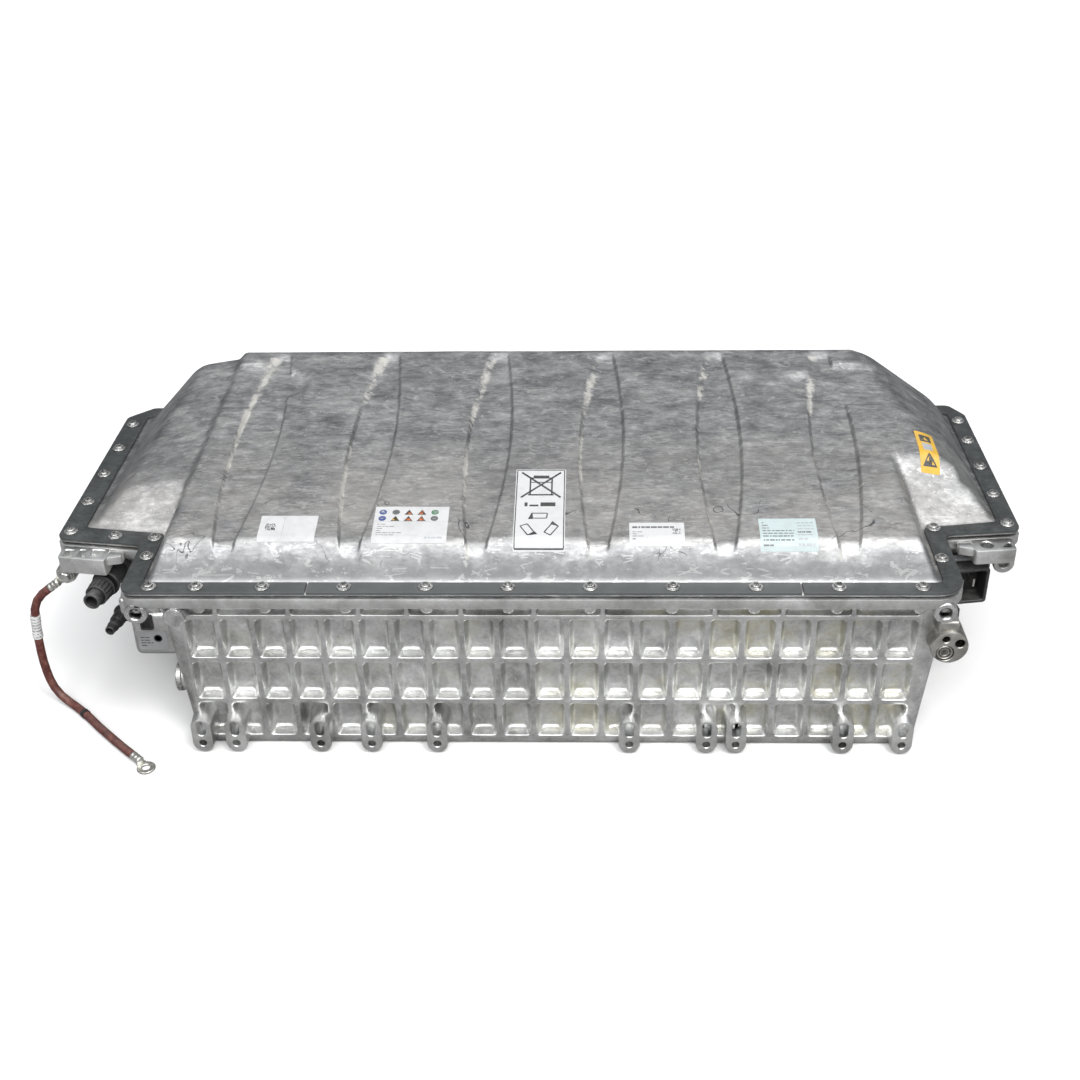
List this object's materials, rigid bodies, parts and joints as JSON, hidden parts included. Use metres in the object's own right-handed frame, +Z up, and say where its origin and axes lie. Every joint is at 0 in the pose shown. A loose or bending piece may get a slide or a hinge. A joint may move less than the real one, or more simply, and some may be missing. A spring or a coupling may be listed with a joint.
{
  "type": "traction battery pack",
  "caption": "Ribbed cast tray of stacked prismatic cell modules under a pressed, beaded cover with clamp strips, side fittings and a bonding cable.",
  "frame": {"origin": "on the surface the pack stands on, below the middle of its width and depth", "axes": "+X to the right along the pack's width, +Y towards its higher back, +Z up"},
  "size_m": [1.0356, 0.4392, 0.2892],
  "materials": {
    "cast_aluminium": "as-cast, satin",
    "sheet_aluminium": "mill finish, scuffed and dusty",
    "dark_steel": "dark satin coating",
    "zinc_steel": "zinc plated",
    "black_plastic": "moulded, matt",
    "grey_plastic": "moulded, matt",
    "seal_rubber": "matt",
    "cable_sheath": "dull, dusty",
    "tag_film": "white film",
    "copper": "bare copper",
    "cell_can": "blue insulating film over aluminium"
  },
  "bodies": {
    "pack": {"tray": "cast_aluminium", "mounting_bracket_left": "cast_aluminium", "mounting_bracket_right": "cast_aluminium", "refrigerant_block": "cast_aluminium", "end_plate_lower_front_left": "cast_aluminium", "end_plate_lower_front_right": "cast_aluminium", "end_plate_lower_rear_left": "cast_aluminium", "end_plate_lower_rear_right": "cast_aluminium", "end_plate_upper_front_left": "cast_aluminium", "end_plate_upper_front_right": "cast_aluminium", "end_plate_upper_rear_left": "cast_aluminium", "end_plate_upper_rear_right": "cast_aluminium", "cover": "sheet_aluminium", "cooling_plate_lower": "sheet_aluminium", "cooling_plate_upper": "sheet_aluminium", "suction_pipe": "sheet_aluminium", "liquid_pipe": "sheet_aluminium", "clamp_strip_left": "dark_steel", "clamp_strip_front": "dark_steel", "clamp_strip_right": "dark_steel", "clamp_strip_rear": "dark_steel", "bonding_bolt": "zinc_steel", "upper_ring_terminal": "zinc_steel", "lower_ring_terminal": "zinc_steel", "vent_body": "zinc_steel", "large_coupling": "black_plastic", "small_coupling": "black_plastic", "high_voltage_header": "black_plastic", "signal_header": "black_plastic", "junction_box_base": "black_plastic", "contactor_positive": "black_plastic", "contactor_negative": "black_plastic", "busbar_carrier_lower_front": "black_plastic", "busbar_carrier_lower_rear": "black_plastic", "busbar_carrier_upper_front": "black_plastic", "busbar_carrier_upper_rear": "black_plastic", "battery_controller": "grey_plastic", "current_sensor": "grey_plastic", "cover_seal": "seal_rubber", "bonding_cable": "cable_sheath", "cable_tag": "tag_film", "main_fuse": "tag_film", "series_link_lower": "copper", "series_link_upper": "copper", "cell_stack_lower_front": "cell_can", "cell_stack_lower_rear": "cell_can", "cell_stack_upper_front": "cell_can", "cell_stack_upper_rear": "cell_can"},
    "vent_disc": {"vent_poppet": "black_plastic"},
    "positive_plunger": {"contactor_plunger_positive": "zinc_steel"},
    "negative_plunger": {"contactor_plunger_negative": "zinc_steel"},
    "lever": {"header_lever": "grey_plastic"},
    "collar": {"large_coupling_collar": "black_plastic"}
  },
  "joints": [
    {"name": "vent_lift", "type": "slide", "parent": "pack", "child": "vent_disc", "axis": [-1, 0, 0], "range_m": [0, 0.004], "stiffness_N_per_m": 500, "springref_m": -0.004},
    {"name": "positive_contactor_close", "type": "slide", "parent": "pack", "child": "positive_plunger", "axis": [0, 0, -1], "range_m": [0, 0.002], "stiffness_N_per_m": 1500, "springref_m": -0.002},
    {"name": "negative_contactor_close", "type": "slide", "parent": "pack", "child": "negative_plunger", "axis": [0, 0, -1], "range_m": [0, 0.002], "stiffness_N_per_m": 1500, "springref_m": -0.002},
    {"name": "lever_turn", "type": "hinge", "parent": "pack", "child": "lever", "pos_m": [0.44563, -0.09256, 0.144], "axis": [0.9884, 0.1521, 0], "range_deg": [0, 85]},
    {"name": "collar_slide", "type": "slide", "parent": "pack", "child": "collar", "axis": [0.1478, 0.989, 0], "range_m": [0, 0.004], "stiffness_N_per_m": 800, "springref_m": -0.003}
  ]
}
